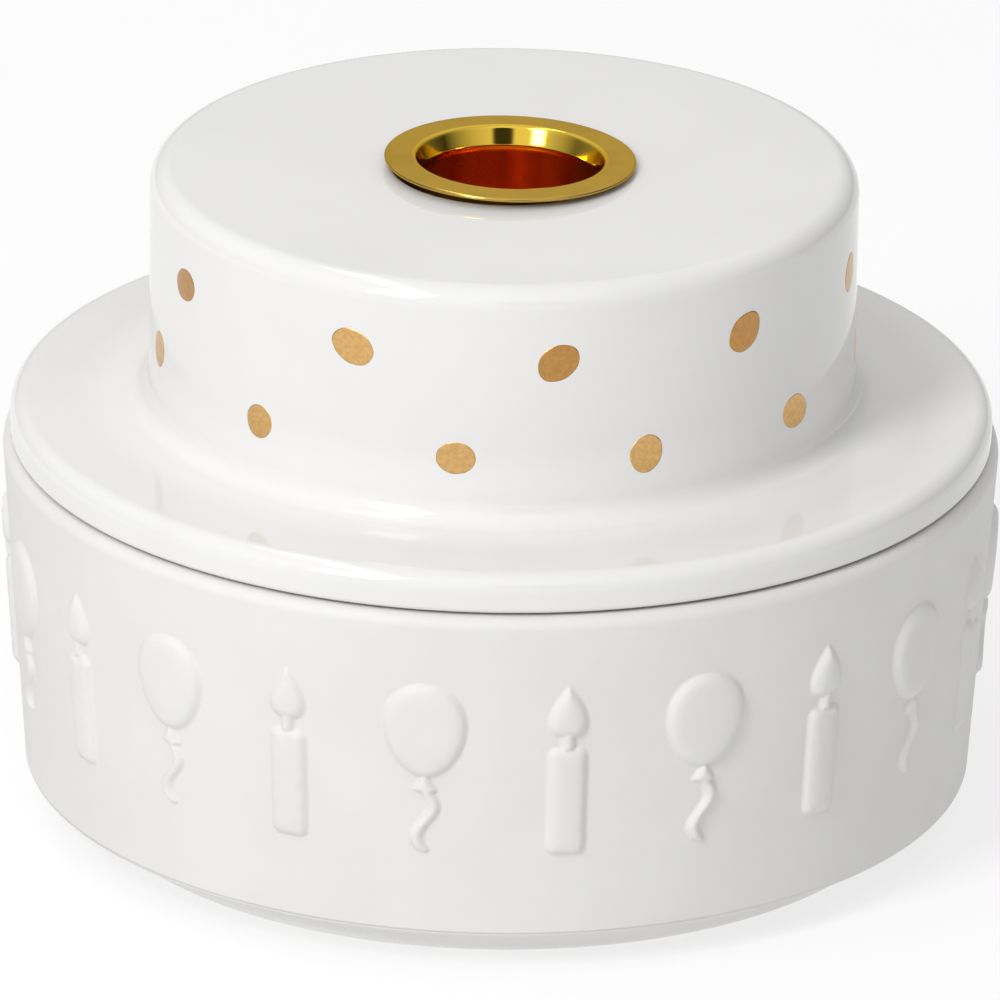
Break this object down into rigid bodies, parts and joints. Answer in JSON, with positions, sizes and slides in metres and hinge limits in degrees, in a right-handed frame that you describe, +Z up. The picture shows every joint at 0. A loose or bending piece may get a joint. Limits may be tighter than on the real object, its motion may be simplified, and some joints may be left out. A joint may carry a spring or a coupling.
{
  "type": "porcelain cake-shaped candle holder box",
  "caption": "Round porcelain box shaped like a tiered birthday cake, with a raised frieze on its base and a glazed lid that holds a brass cup for a taper candle.",
  "frame": {"origin": "centre of the surface that the foot ring stands on", "axes": "+Z up along the turning axis of base and lid, -Y towards the front, +X to the right as seen from the front"},
  "size_m": [0.1154, 0.115, 0.0788],
  "materials": {
    "bisque": "unglazed matte white porcelain",
    "glaze": "glossy white glaze with small gold dots",
    "brass": "golden sheet metal, satin rim and polished neck"
  },
  "bodies": {
    "root": {"base": "bisque", "lid": "glaze", "candle_cup": "brass"}
  },
  "joints": []
}
